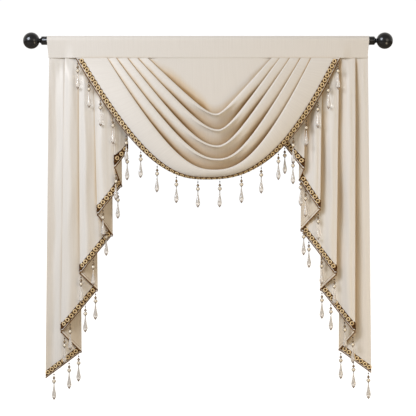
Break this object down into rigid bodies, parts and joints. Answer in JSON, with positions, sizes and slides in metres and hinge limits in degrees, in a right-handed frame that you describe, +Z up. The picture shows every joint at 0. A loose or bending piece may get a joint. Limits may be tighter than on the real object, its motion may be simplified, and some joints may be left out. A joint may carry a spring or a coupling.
{
  "type": "swag and tail drape on a curtain rod",
  "caption": "Ivory satin swag valance with pleated cascade tails, gold scroll braid and bead drops, hung by its pocket on a black rod with ball finials.",
  "frame": {"origin": "on the rod's axis, half way along it, where the brackets hold it at either end", "axes": "+X along the rod to the viewer's right, +Y back towards the wall, +Z up; the drape's face looks along -Y"},
  "size_m": [1.3796, 0.1265, 1.3699],
  "materials": {
    "satin": "ivory satin with a soft sheen",
    "braid": "gold and brown scroll braid with bead drops",
    "rod": "gloss black enamel"
  },
  "bodies": {
    "root": {"rod": "rod", "finial_left": "rod", "finial_right": "rod", "header": "satin", "swag": "satin", "tail_left": "satin", "tail_right": "satin", "swag_fringe": "braid", "tail_left_fringe": "braid", "tail_right_fringe": "braid"}
  },
  "joints": []
}
